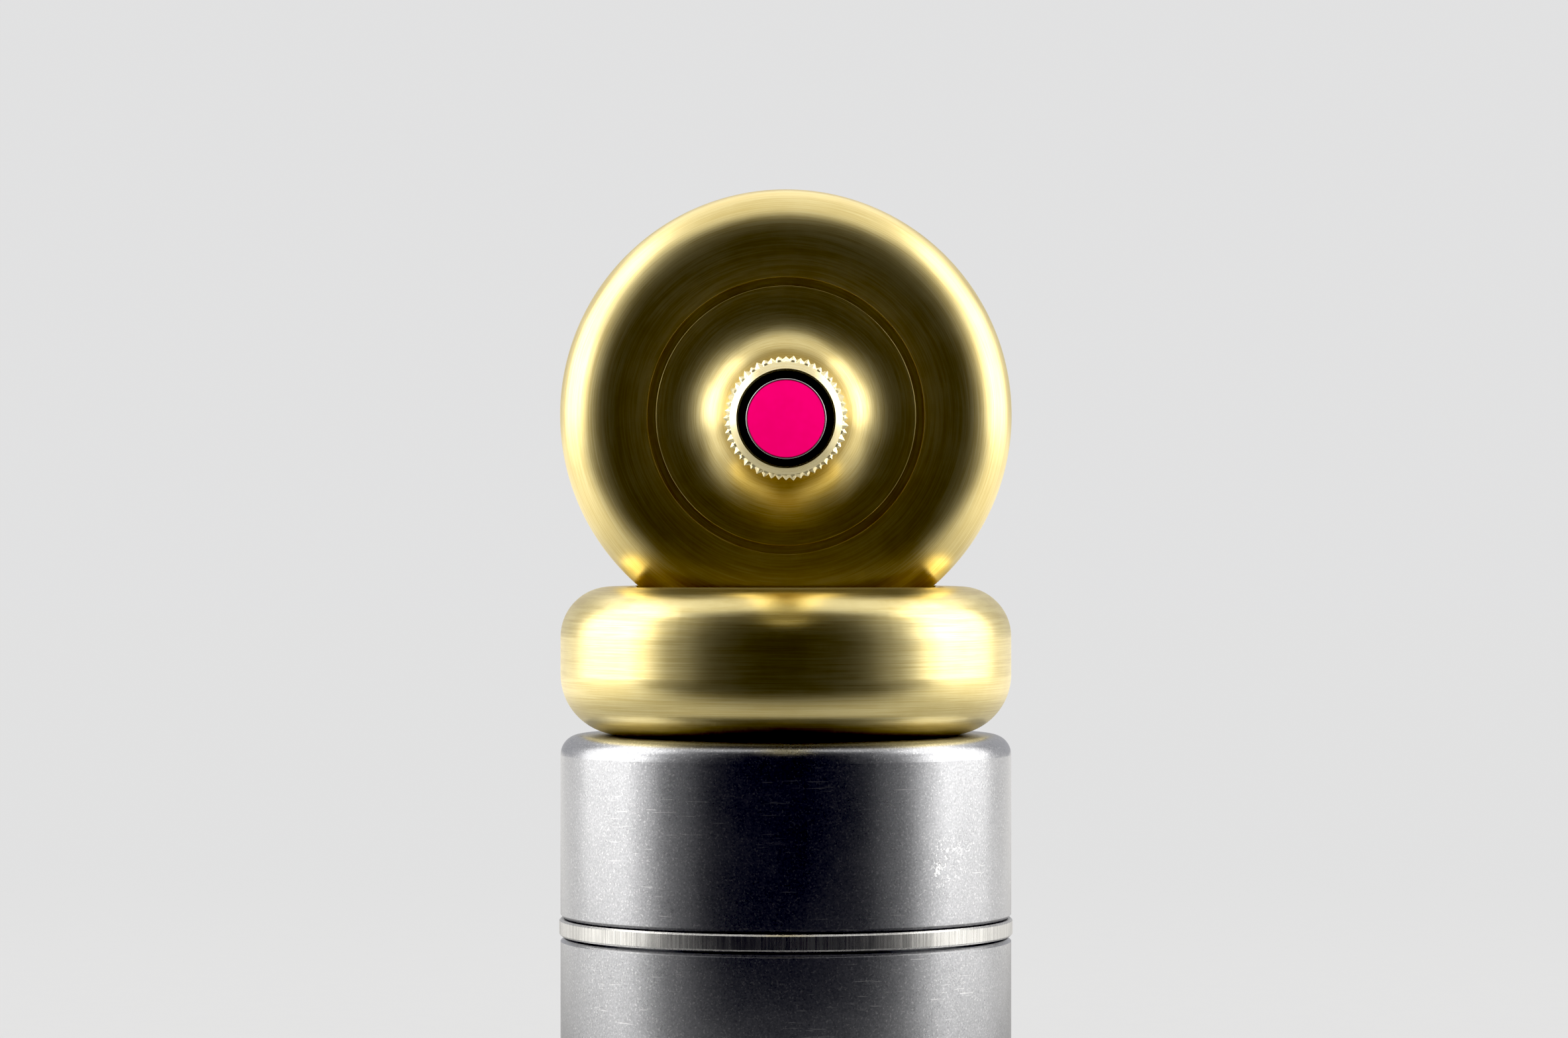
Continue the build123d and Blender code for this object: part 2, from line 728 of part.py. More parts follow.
with BuildPart() as hammer_head:
    with Locations(pivot_point + arm_way * arm_length):
        Sphere(hammer_r)
    split(bisect_by=arm_end, keep=Keep.TOP)
    with BuildSketch(arm_end):
        Circle(hammer_pin_r + thread_gap)
    extrude(amount=arm_length - arm_shoulder + thread_gap, mode=Mode.SUBTRACT)
hammer_head.part.label = "hammer_head"

with BuildPart() as pivot_pin:
    cheek_out = cheek_in + cheek_t
    pin_half = cheek_out + free + clip_t + pin_end
    clip_x = cheek_out + free / 2
    pivot_tube(0, pin_r, -pin_half, pin_half)
    for side in (-1, 1):
        groove_ends = (side * clip_x, side * (clip_x + clip_t + thread_gap))
        pivot_tube(pin_r - clip_groove, pin_r + over, *groove_ends, Mode.SUBTRACT)
pivot_pin.part.label = "pivot_pin"

with BuildPart() as pivot_clips:
    with BuildSketch(pivot_side.offset(clip_x)):
        Circle(clip_r)
        Circle(pin_r - clip_groove + thread_gap, mode=Mode.SUBTRACT)
        with Locations((0, clip_r)):
            Rectangle(pin_r, 2 * clip_r, mode=Mode.SUBTRACT)
    extrude(amount=clip_t)
    mirror(about=Plane.YZ)
pivot_clips.part.label = "pivot_clips"

with BuildPart() as lever_spacers:
    pivot_tube(pin_r + thread_gap, spacer_r, cheek_in - spacer_t, cheek_in)
    mirror(about=Plane.YZ)
lever_spacers.part.label = "lever_spacers"

# ---- Files ----

os.makedirs("parts", exist_ok=True)
pieces = [
    base_cup,
    swivel_oring,
    lock_ring,
    barrel,
    retaining_screws,
    collar,
    collar_screws,
    bell_bracket,
    bracket_screws,
    movement_frame,
    frame_screws,
    rear_washer,
    front_washer,
    gong,
    neck_sleeve,
    bezel_nut,
    guide_bush,
    button_cap,
    button_insert,
    plunger_rod,
    return_spring,
    hammer_lever,
    hammer_bush,
    hammer_head,
    pivot_pin,
    pivot_clips,
    lever_spacers,
]
for piece in pieces:
    export_step(piece.part, f"parts/{piece.part.label}.step")
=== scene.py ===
"""A push-button bicycle bell on its steerer mount, turned, knurled and polished for a studio view."""

import json
import logging
import math
import random
from dataclasses import dataclass, replace
from enum import Enum
from typing import Callable, Optional, Sequence, Union

import bmesh
import bpy
from mathutils import Matrix, Vector


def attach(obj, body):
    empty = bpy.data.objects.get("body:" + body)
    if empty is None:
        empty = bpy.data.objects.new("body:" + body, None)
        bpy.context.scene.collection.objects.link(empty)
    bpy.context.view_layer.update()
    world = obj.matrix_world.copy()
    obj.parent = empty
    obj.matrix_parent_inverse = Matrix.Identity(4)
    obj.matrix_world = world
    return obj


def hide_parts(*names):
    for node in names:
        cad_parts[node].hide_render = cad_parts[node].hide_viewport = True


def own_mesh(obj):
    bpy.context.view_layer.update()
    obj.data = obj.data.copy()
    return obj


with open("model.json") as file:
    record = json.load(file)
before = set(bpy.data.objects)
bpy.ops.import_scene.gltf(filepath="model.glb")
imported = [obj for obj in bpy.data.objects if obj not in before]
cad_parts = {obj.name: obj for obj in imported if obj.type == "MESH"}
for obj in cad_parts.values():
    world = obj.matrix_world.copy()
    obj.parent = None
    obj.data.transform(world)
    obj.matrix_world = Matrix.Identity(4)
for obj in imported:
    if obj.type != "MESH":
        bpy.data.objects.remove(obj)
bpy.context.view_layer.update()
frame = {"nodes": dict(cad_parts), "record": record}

MM = 0.001
MERGE = 1e-7
NEAR = 1e-6
LOG = logging.getLogger("bell")

Colour = tuple[float, float, float]
Stock = dict[str, bpy.types.Material]


# ---- Shader arithmetic ----


class Signal:
    """One output of a shader node. Ordinary arithmetic on it adds Math nodes."""

    def __init__(self, wiring: "Wiring", socket: bpy.types.NodeSocket) -> None:
        """Wrap one output.

        Args:
            wiring: the node tree that the node belongs to.
            socket: the node's output.
        """
        self.wiring = wiring
        self.socket = socket

    def _math(self, operation: str, *values: "Value") -> "Signal":
        """Add a Math node on these values."""
        return self.wiring.node("ShaderNodeMath", {"operation": operation}, dict(enumerate(values)))

    def __add__(self, other: "Value") -> "Signal":
        """Sum."""
        return self._math("ADD", self, other)

    def __radd__(self, other: "Value") -> "Signal":
        """Sum with a number on the left."""
        return self._math("ADD", other, self)

    def __sub__(self, other: "Value") -> "Signal":
        """Difference."""
        return self._math("SUBTRACT", self, other)

    def __rsub__(self, other: "Value") -> "Signal":
        """Difference with a number on the left."""
        return self._math("SUBTRACT", other, self)

    def __mul__(self, other: "Value") -> "Signal":
        """Product."""
        return self._math("MULTIPLY", self, other)

    def __rmul__(self, other: "Value") -> "Signal":
        """Product with a number on the left."""
        return self._math("MULTIPLY", other, self)

    def __truediv__(self, other: "Value") -> "Signal":
        """Quotient."""
        return self._math("DIVIDE", self, other)

    def root(self) -> "Signal":
        """Square root."""
        return self._math("SQRT", self)


Value = Union[Signal, float, Sequence[float]]


class Wiring:
    """A node tree, with the one way in which its nodes are added."""

    output_kind = "OUTPUT_WORLD"

    def __init__(self, tree: bpy.types.NodeTree) -> None:
        """Take over a tree.

        Args:
            tree: the tree of a material or of the world.
        """
        self.tree = tree

    def node(
        self,
        kind: str,
        settings: Optional[dict[str, object]] = None,
        sockets: Optional[dict[Union[int, str], Value]] = None,
        out: Union[int, str] = 0,
    ) -> Signal:
        """Add a node of any type.

        Args:
            kind: the node's type.
            settings: its own settings, which are set first.
            sockets: the values or links of its inputs.
            out: which output is wanted.

        Returns:
            The node's output.
        """
        made = self.tree.nodes.new(kind)
        for name, value in (settings or {}).items():
            setattr(made, name, value)
        for name, value in (sockets or {}).items():
            self.feed(made.inputs[name], value)
        return Signal(self, made.outputs[out])

    def feed(self, socket: bpy.types.NodeSocket, value: Value) -> None:
        """Link a signal to an input, or set its number or colour.

        Args:
            socket: the input.
            value: a signal, a number, a colour or a vector.
        """
        if isinstance(value, Signal):
            self.tree.links.new(value.socket, socket)
        elif isinstance(value, (int, float)):
            socket.default_value = value
        elif socket.type == "RGBA":
            socket.default_value = (*value[:3], 1.0)
        else:
            socket.default_value = value

    def find(self, kind: str) -> bpy.types.Node:
        """The tree's first node of this type."""
        return next(node for node in self.tree.nodes if node.type == kind)

    def split(self, where: Signal) -> tuple[Signal, Signal, Signal]:
        """The three parts of a vector."""
        parts = self.node("ShaderNodeSeparateXYZ", sockets={0: where})
        outputs = parts.socket.node.outputs
        return tuple(Signal(self, outputs[index]) for index in range(3))

    def step(self, value: Signal, low: float, high: float, bottom: float = 0.0, top: float = 1.0) -> Signal:
        """Go smoothly from one number to another.

        Args:
            value: the signal that decides.
            low: where the change starts.
            high: where it ends.
            bottom: the number before the change.
            top: the number after it.

        Returns:
            A signal between bottom and top.
        """
        return self.node(
            "ShaderNodeMapRange",
            {"interpolation_type": "SMOOTHSTEP"},
            {"Value": value, "From Min": low, "From Max": high, "To Min": bottom, "To Max": top},
        )

    def choose(self, share: Signal, first: Signal, second: Signal) -> None:
        """Send one of two shaders, or a mix of them, to the tree's output.

        Args:
            share: 0 for the first, 1 for the second.
            first: a shader.
            second: a shader.
        """
        both = self.node("ShaderNodeMixShader", sockets={0: share, 1: first, 2: second})
        self.feed(self.find(self.output_kind).inputs["Surface"], both)


class Paint(Wiring):
    """A material under construction."""

    output_kind = "OUTPUT_MATERIAL"

    def __init__(self, name: str) -> None:
        """Start a material.

        Args:
            name: the material's name.
        """
        self.material = bpy.data.materials.new(name)
        self.material.use_nodes = True
        super().__init__(self.material.node_tree)
        self.shader = self.find("BSDF_PRINCIPLED")

    def surface(self, **values: Value) -> None:
        """Set the shader's own inputs, named with underscores for spaces.

        Args:
            **values: a signal, a number or a colour for each input.
        """
        for name, value in values.items():
            self.feed(self.shader.inputs[name.replace("_", " ")], value)

    def place(self) -> Signal:
        """The position on the object, in metres."""
        return self.node("ShaderNodeTexCoord", out="Object")

    def noise(self, where: Signal, scale: float = 1.0, detail: float = 3.0, rough: float = 0.55) -> Signal:
        """Cloudy noise between 0 and 1.

        Args:
            where: the coordinates.
            scale: how many cells there are per unit.
            detail: how many finer layers lie on it.
            rough: how strong the finer layers are.

        Returns:
            The noise.
        """
        return self.node(
            "ShaderNodeTexNoise",
            sockets={"Vector": where, "Scale": scale, "Detail": detail, "Roughness": rough},
        )

    def vector(self, x: Value, y: Value, z: Value) -> Signal:
        """A vector from its three parts."""
        return self.node("ShaderNodeCombineXYZ", sockets={0: x, 1: y, 2: z})

    def length(self, a: Signal, b: Signal) -> Signal:
        """How long the two parts are together."""
        return (a * a + b * b).root()

    def blend(self, low: Value, high: Value, share: Value) -> Signal:
        """Mix two colours.

        Args:
            low: the colour at a share of 0.
            high: the colour at a share of 1.
            share: the signal between them.

        Returns:
            The mixed colour.
        """
        return self.node(
            "ShaderNodeMix", {"data_type": "RGBA", "clamp_factor": True}, {0: share, 6: low, 7: high}, out=2
        )

    def bump(self, height: Signal, depth: float) -> Signal:
        """A surface normal from tool marks of this height in metres."""
        return self.node("ShaderNodeBump", sockets={"Height": height, "Distance": depth, "Strength": 1.0})


# ---- Finishes ----


class Lay(Enum):
    """Which way the tool marks run."""

    ROUND_HEAD = "round the head's axis"
    ROUND_TURRET = "round the mount's axis"
    ALONG_Y = "from front to back"
    ALONG_Z = "up and down"
    ALL_WAYS = "no direction"


@dataclass(frozen=True)
class HeadFrame:
    """The leaning axis that the gong, the stem and the button share."""

    height: float = 57.7 * MM
    lean: float = math.radians(1.5)

    def matrix(self) -> Matrix:
        """Takes the head's own frame to the row's frame."""
        return Matrix.Translation((0, 0, self.height)) @ Matrix.Rotation(self.lean, 4, "X")

    def back(self) -> Vector:
        """The direction in which the button is pressed."""
        return Vector((0, math.cos(self.lean), math.sin(self.lean)))


HEAD = HeadFrame()
UPRIGHT = Matrix.Rotation(math.radians(90), 4, "X")


@dataclass(frozen=True)
class WearAndSparkle:
    """Marks on a metal: fine scratches and one cluster of nicks that use has left, and bright specks painted
    into its colour as the sparkle of a blasted surface.
    """

    # How strongly bright specks are painted into the colour as sparkle, standing in for glints of light.
    painted_sparkle: float = 0.0
    painted_sparkle_grain: float = 0.16 * MM
    painted_sparkle_cut: tuple[float, float] = (0.58, 0.72)
    painted_sparkle_colour: Colour = (0.95, 0.95, 0.95)
    scratches: float = 0.0
    scratch_turn: tuple[float, float, float] = (0.3, 0.5, 0.2)
    scratch_scale: tuple[float, float, float] = (420.0, 420.0, 9500.0)
    scratch_cut: tuple[float, float] = (0.70, 0.74)
    scratch_patch: float = 7 * MM
    scratch_patch_cut: tuple[float, float] = (0.50, 0.62)
    scratch_deep: float = 1.5
    scratch_colour: Colour = (0.97, 0.97, 0.96)
    nicks: bool = False
    nicks_at: tuple[float, float, float] = (12.4 * MM, -13.0 * MM, 22.9 * MM)
    nicks_reach: tuple[float, float] = (0.3 * MM, 2.6 * MM)
    nick_grain: float = 0.42 * MM
    nick_cut: tuple[float, float] = (0.54, 0.60)
    nick_deep: float = 4.0
    nick_colour: Colour = (0.95, 0.95, 0.96)

    def add(self, paint: Paint, where: Signal, colour: Signal, height: Signal) -> tuple[Signal, Signal]:
        """Lay the worn marks and the painted sparkle over a clean metal.

        Args:
            paint: the finish under construction.
            where: the position on the object.
            colour: the clean metal's colour.
            height: the clean metal's relief.

        Returns:
            The colour with worn marks and painted sparkle, and the worn relief.
        """
        # Painted sparkle: bright specks blended into the colour stand in for the glints that a blasted surface
        # throws back.
        if self.painted_sparkle:
            painted_sparkle_mask = paint.step(paint.noise(where, 1 / self.painted_sparkle_grain, 1.0, 0.5), *self.painted_sparkle_cut)
            colour = paint.blend(colour, self.painted_sparkle_colour, painted_sparkle_mask * self.painted_sparkle)
        if self.scratches:
            scored = paint.node(
                "ShaderNodeMapping",
                {"vector_type": "POINT"},
                {"Vector": where, "Rotation": self.scratch_turn, "Scale": self.scratch_scale},
            )
            lines = paint.step(paint.noise(scored, 1.0, 1.0, 0.4), *self.scratch_cut)
            worn = paint.step(paint.noise(where, 1 / self.scratch_patch, 2.0), *self.scratch_patch_cut)
            lines = lines * worn * self.scratches
            colour = paint.blend(colour, self.scratch_colour, lines)
            height = height - lines * self.scratch_deep
        if self.nicks:
            off = paint.node(
                "ShaderNodeVectorMath", {"operation": "DISTANCE"}, {0: where, 1: self.nicks_at}, out="Value"
            )
            near = paint.step(off, *self.nicks_reach, 1.0, 0.0)
            nicks = paint.step(paint.noise(where, 1 / self.nick_grain, 3.0, 0.7), *self.nick_cut) * near
            colour = paint.blend(colour, self.nick_colour, nicks)
            height = height - nicks * self.nick_deep
        return colour, height


@dataclass(frozen=True)
class Metal:
    """A machined or blasted metal."""

    name: str
    colour: Colour
    shade: Colour
    roughness: float
    spread: float = 0.06
    lay: Lay = Lay.ALL_WAYS
    pitch: float = 0.12 * MM
    depth: float = 0.4e-6
    patch: float = 6 * MM
    stretch: float = 2.5
    draw: float = 40.0
    wear_and_sparkle: WearAndSparkle = WearAndSparkle()
    mark_share: float = 0.7
    share_cut: tuple[float, float] = (0.36, 0.64)

    def marks(self, paint: Paint, where: Signal) -> Signal:
        """The tool marks, as heights from 0 to 1.

        Args:
            paint: the finish under construction.
            where: the position on the object.

        Returns:
            The height.
        """
        if self.lay is Lay.ROUND_HEAD:
            where = paint.node(
                "ShaderNodeMapping",
                {"vector_type": "TEXTURE"},
                {"Vector": where, "Location": (0, 0, HEAD.height), "Rotation": (HEAD.lean, 0, 0)},
            )
        x, y, z = paint.split(where)
        turns = {Lay.ROUND_HEAD: (x, z, y), Lay.ROUND_TURRET: (x, y, z)}
        fine = 1 / self.pitch
        long = fine / self.draw
        if self.lay in turns:
            a, b, along = turns[self.lay]
            out = paint.length(a, b)
            around = (a / out * self.stretch, b / out * self.stretch)
            return paint.noise(paint.vector((out + along) * fine, *around), detail=4.0, rough=0.65)
        stretched = {
            Lay.ALONG_Y: (fine, long, fine),
            Lay.ALONG_Z: (fine, fine, long),
            Lay.ALL_WAYS: (fine, fine, fine),
        }[self.lay]
        return paint.noise(paint.vector(x * stretched[0], y * stretched[1], z * stretched[2]), detail=3.0)

    def material(self) -> bpy.types.Material:
        """Mix the metal.

        Returns:
            The finished material.
        """
        paint = Paint(self.name)
        where = paint.place()
        marks = self.marks(paint, where)
        patches = paint.noise(where, 1 / self.patch, 4.0, 0.6)
        share = paint.step(marks * self.mark_share + patches * (1 - self.mark_share), *self.share_cut)
        colour = paint.blend(self.shade, self.colour, share)
        roughness = self.roughness + (marks - 0.5) * self.spread + (patches - 0.5) * self.spread
        colour, height = self.wear_and_sparkle.add(paint, where, colour, marks)
        paint.surface(
            Base_Color=colour,
            Metallic=1.0,
            Roughness=roughness,
            Normal=paint.bump(height, self.depth),
        )
        return paint.material


@dataclass(frozen=True)
class Moulded:
    """A plastic, rubber or fibre."""

    name: str
    colour: Colour
    shade: Colour
    roughness: float
    coat: float = 0.0
    coat_roughness: float = 0.03
    grain: float = 0.3 * MM
    cloud: float = 10.0
    grain_share: float = 0.4
    share_cut: tuple[float, float] = (0.35, 0.65)
    depth: float = 1e-6
    spread: float = 0.05
    # glow paints light into the part: an emission in its own colour that makes it shine though it is no lamp.
    glow: float = 0.0
    gloss: float = 0.5

    def material(self) -> bpy.types.Material:
        """Mix the material.

        Returns:
            The finished material.
        """
        paint = Paint(self.name)
        where = paint.place()
        grain = paint.noise(where, 1 / self.grain, 4.0, 0.6)
        clouds = paint.noise(where, 1 / (self.cloud * self.grain), 2.0)
        share = paint.step(grain * self.grain_share + clouds * (1 - self.grain_share), *self.share_cut)
        colour = paint.blend(self.shade, self.colour, share)
        paint.surface(
            Base_Color=colour,
            Roughness=self.roughness + (grain - 0.5) * self.spread + (clouds - 0.5) * self.spread,
            Coat_Weight=self.coat,
            Coat_Roughness=self.coat_roughness,
            Specular_IOR_Level=self.gloss,
            # Painted light: with a glow, the part shines by itself in its own colour, though it is no lamp.
            Emission_Color=colour,
            Emission_Strength=self.glow,
            Normal=paint.bump(grain, self.depth),
        )
        return paint.material


FINISHES = {
    finish.name: finish
    for finish in (
        # The aluminium's bright specks are painted sparkle; its scratches and nicks are wear.
        Metal(
            "blasted_aluminium", (0.46, 0.465, 0.485), (0.355, 0.36, 0.375), roughness=0.285, spread=0.05,
            pitch=0.17 * MM, depth=3.0e-6, wear_and_sparkle=WearAndSparkle(painted_sparkle=0.35, scratches=0.4, nicks=True),
        ),
        Metal(
            "lock_ring_steel", (0.70, 0.695, 0.67), (0.46, 0.455, 0.44), roughness=0.27, spread=0.08,
            lay=Lay.ALONG_Z, pitch=0.14 * MM, depth=3e-6,
        ),
        Metal(
            "collar_brass", (0.93, 0.80, 0.40), (0.78, 0.63, 0.26), roughness=0.30, spread=0.06,
            lay=Lay.ROUND_TURRET, pitch=0.11 * MM, depth=2.6e-6,
        ),
        Metal(
            "gong_brass", (0.93, 0.79, 0.39), (0.78, 0.62, 0.25), roughness=0.33, spread=0.06,
            lay=Lay.ROUND_HEAD, pitch=0.12 * MM, depth=2.4e-6,
        ),
        Metal(
            "stem_brass", (0.95, 0.85, 0.52), (0.85, 0.73, 0.40), roughness=0.28, spread=0.05,
            lay=Lay.ROUND_HEAD, pitch=0.18 * MM, depth=1.3e-6,
        ),
        Metal(
            "button_metal", (0.88, 0.87, 0.84), (0.66, 0.65, 0.63), roughness=0.34, spread=0.08,
            pitch=0.05 * MM, depth=1.5e-6,
        ),
        # The pink insert's glow is painted light, which brightens it though it is no lamp.
        Moulded(
            "button_pink", (0.98, 0.0, 0.18), (0.90, 0.0, 0.155), roughness=0.30, grain=0.5 * MM,
            depth=0.3e-6, glow=0.16, gloss=0.2,
        ),
        Moulded(
            "bush_black", (0.012, 0.012, 0.010), (0.006, 0.006, 0.005), roughness=0.22, coat=0.3, grain=0.2 * MM
        ),
        Metal(
            "bracket_steel", (0.66, 0.66, 0.65), (0.50, 0.50, 0.50), roughness=0.30, spread=0.10,
            lay=Lay.ALONG_Z, pitch=0.07 * MM, depth=1.2e-6,
        ),
        Metal(
            "movement_steel", (0.70, 0.68, 0.64), (0.54, 0.52, 0.49), roughness=0.24, spread=0.08,
            lay=Lay.ALONG_Y, pitch=0.08 * MM, depth=0.9e-6,
        ),
        Metal(
            "screw_steel", (0.20, 0.20, 0.21), (0.10, 0.10, 0.11), roughness=0.36, spread=0.10,
            pitch=0.10 * MM, depth=1e-6,
        ),
        Metal("spring_steel", (0.66, 0.66, 0.66), (0.46, 0.46, 0.47), roughness=0.20, spread=0.06),
        Metal(
            "lever_steel", (0.50, 0.50, 0.53), (0.34, 0.34, 0.37), roughness=0.30, spread=0.10,
            lay=Lay.ALONG_Z, pitch=0.06 * MM, depth=1e-6,
        ),
        Metal("hammer_steel", (0.86, 0.86, 0.86), (0.72, 0.72, 0.73), roughness=0.08, spread=0.04),
        Metal(
            "bush_bronze", (0.66, 0.44, 0.22), (0.44, 0.28, 0.14), roughness=0.38, spread=0.10,
            pitch=0.2 * MM, depth=3e-6,
        ),
        Moulded(
            "seal_rubber", (0.035, 0.035, 0.035), (0.018, 0.018, 0.018), roughness=0.55, grain=0.2 * MM,
            depth=4e-6,
        ),
        Moulded(
            "fibre", (0.30, 0.08, 0.05), (0.18, 0.05, 0.03), roughness=0.60, grain=0.15 * MM, depth=6e-6
        ),
    )
}


# ---- Bench: how a piece is shaped ----


@dataclass(frozen=True)
class Corner:
    """A corner in the outline of a turned piece."""

    out: float
    along: float
    radius: float = 0.0


def clear_bench() -> None:
    """Deselect everything, so that an operator acts on nothing by accident."""
    if bpy.context.object and bpy.context.object.mode != "OBJECT":
        bpy.ops.object.mode_set(mode="OBJECT")
    bpy.ops.object.select_all(action="DESELECT")


def pick(piece: bpy.types.Object, wanted: Callable[[Vector], bool]) -> None:
    """Select the vertices whose place fits, in edit mode.

    Args:
        piece: the piece in edit mode.
        wanted: says whether a place is wanted.
    """
    bpy.ops.mesh.select_mode(type="VERT")
    bpy.ops.mesh.select_all(action="DESELECT")
    mesh = bmesh.from_edit_mesh(piece.data)
    for vertex in mesh.verts:
        if wanted(vertex.co):
            vertex.select = True
    mesh.select_flush(True)
    bmesh.update_edit_mesh(piece.data)


def start_point(name: str, where: Sequence[float]) -> bpy.types.Object:
    """Collapse a small plane to one vertex, from which an outline is drawn.

    Args:
        name: the piece's name.
        where: the vertex's place.

    Returns:
        The piece, in edit mode.
    """
    clear_bench()
    bpy.ops.mesh.primitive_plane_add(size=MM)
    piece = bpy.context.object
    piece.name = piece.data.name = name
    bpy.ops.object.mode_set(mode="EDIT")
    bpy.ops.mesh.select_all(action="SELECT")
    bpy.ops.mesh.merge(type="CENTER")
    bpy.ops.transform.translate(value=where)
    return piece


TURN_STEPS = 256
ARC_STEPS = 14
SMALL_ARC_STEPS = 5


def turned(
    name: str, outline: Sequence[Corner], steps: int = TURN_STEPS, arc: int = ARC_STEPS
) -> bpy.types.Object:
    """Turn a closed outline about the Y axis, with its corners rounded first.

    Args:
        name: the piece's name.
        outline: the corners in order.
        steps: how many steps go round the piece.
        arc: how many steps a rounded corner has.

    Returns:
        The piece, in edit mode and still about the Y axis.
    """
    piece = start_point(name, (outline[0].out, outline[0].along, 0))
    for here, there in zip(outline, [*outline[1:], outline[0]]):
        step = (there.out - here.out, there.along - here.along, 0)
        bpy.ops.mesh.extrude_region_move(TRANSFORM_OT_translate={"value": step})
    bpy.ops.mesh.select_all(action="SELECT")
    bpy.ops.mesh.remove_doubles(threshold=MERGE)
    count = len(outline)
    for index, corner in enumerate(outline):
        if not corner.radius:
            continue
        before, after = outline[index - 1], outline[(index + 1) % count]
        first = Vector((corner.out - before.out, corner.along - before.along))
        second = Vector((after.out - corner.out, after.along - corner.along))
        offset = corner.radius * math.tan(first.angle(second) / 2)
        middle = Vector((corner.out, corner.along, 0))
        pick(piece, lambda place, middle=middle: (place - middle).length < NEAR)
        bpy.ops.mesh.bevel(offset=offset, segments=arc, affect="VERTICES", clamp_overlap=False)
    bpy.ops.mesh.select_all(action="SELECT")
    bpy.ops.mesh.remove_doubles(threshold=MERGE)
    bpy.ops.mesh.select_all(action="SELECT")
    bpy.ops.mesh.spin(steps=steps, angle=2 * math.pi, center=(0, 0, 0), axis=(0, 1, 0))
    bpy.ops.mesh.select_all(action="SELECT")
    bpy.ops.mesh.remove_doubles(threshold=MERGE)
    return piece


def settle(piece: bpy.types.Object, place: Matrix, angle: float = 30.0) -> bpy.types.Object:
    """Leave edit mode, put the piece in its place in its mesh, and smooth it.

    Args:
        piece: the piece.
        place: takes the piece's own frame to the row's frame.
        angle: edges sharper than this many degrees stay sharp.

    Returns:
        The piece.
    """
    if piece.mode != "EDIT":
        bpy.ops.object.mode_set(mode="EDIT")
    bpy.ops.mesh.select_all(action="SELECT")
    bpy.ops.mesh.normals_make_consistent(inside=False)
    bpy.ops.object.mode_set(mode="OBJECT")
    piece.matrix_world = place
    bpy.ops.object.transform_apply(location=True, rotation=True, scale=True)
    bpy.ops.object.shade_smooth_by_angle(angle=math.radians(angle))
    return piece


def polar(place: Vector) -> tuple[float, float]:
    """How far a place lies from the Y axis, and its angle about it."""
    return math.hypot(place.x, place.z), math.atan2(place.z, place.x)


def finish_piece(piece: bpy.types.Object, body: str, slot: str, node: str, stock: Stock) -> None:
    """Dress a new piece and say what it rides on and stands for.

    Args:
        piece: the piece.
        body: the body that it rides on.
        slot: the record's slot that its finish comes from.
        node: the CAD node that it stands for.
        stock: the finished materials by slot.
    """
    piece.data.materials.clear()
    piece.data.materials.append(stock[slot])
    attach(piece, body)
    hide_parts(node)
    LOG.info("%s rides on %s, %d faces", piece.name, body, len(piece.data.polygons))


# ---- Sub-assemblies ----


@dataclass
class Gong:
    """The bell itself: a shallow brass dish on edge, with a trumpet-shaped hollow in its face."""

    outer: float = 18.0 * MM
    face: float = -5.95 * MM
    mouth: float = 5.95 * MM
    wall: float = 1.8 * MM
    rim_round: float = 4.8 * MM
    mouth_round: float = 1.4 * MM
    flare: float = 5.6 * MM
    neck: float = 4.2 * MM
    bore: float = 3.6 * MM
    seat: float = -7.0 * MM
    spot: float = 5.3 * MM
    groove_in: float = 10.25 * MM
    groove_out: float = 10.95 * MM
    groove_deep: float = 0.3 * MM
    groove_round: float = 0.04 * MM
    lip_round: float = 0.1 * MM
    fair: float = 0.9995

    def outline(self) -> list[Corner]:
        """The outline, from the neck out over the face and back through the hollow."""
        neck_face = self.face - self.flare
        inner = self.outer - self.wall
        back_wall = self.face + self.wall
        inner_flare = self.flare + self.wall
        flare_edge = self.neck + self.flare
        spot_back = neck_face + math.sqrt(inner_flare**2 - (flare_edge - self.spot) ** 2)
        turn_half = math.asin((flare_edge - self.spot) / inner_flare) / 2
        return [
            Corner(self.bore, neck_face),
            Corner(self.neck, neck_face),
            Corner(self.neck, self.face, self.flare * self.fair),
            Corner(self.groove_in, self.face, self.groove_round),
            Corner(self.groove_in, self.face + self.groove_deep),
            Corner(self.groove_out, self.face + self.groove_deep),
            Corner(self.groove_out, self.face, self.groove_round),
            Corner(self.outer, self.face, self.rim_round),
            Corner(self.outer, self.mouth, self.mouth_round),
            Corner(inner, self.mouth, self.lip_round),
            Corner(inner, back_wall, self.rim_round - self.wall),
            Corner(flare_edge - inner_flare * math.tan(turn_half), back_wall, inner_flare * self.fair),
            Corner(self.spot, spot_back),
            Corner(self.spot, self.seat),
            Corner(self.bore, self.seat),
        ]

    def build(self, stock: Stock) -> None:
        """Turn the gong and hang it on the turret."""
        piece = settle(turned("gong_shell", self.outline()), HEAD.matrix())
        finish_piece(piece, "turret", "gong_brass", "gong", stock)


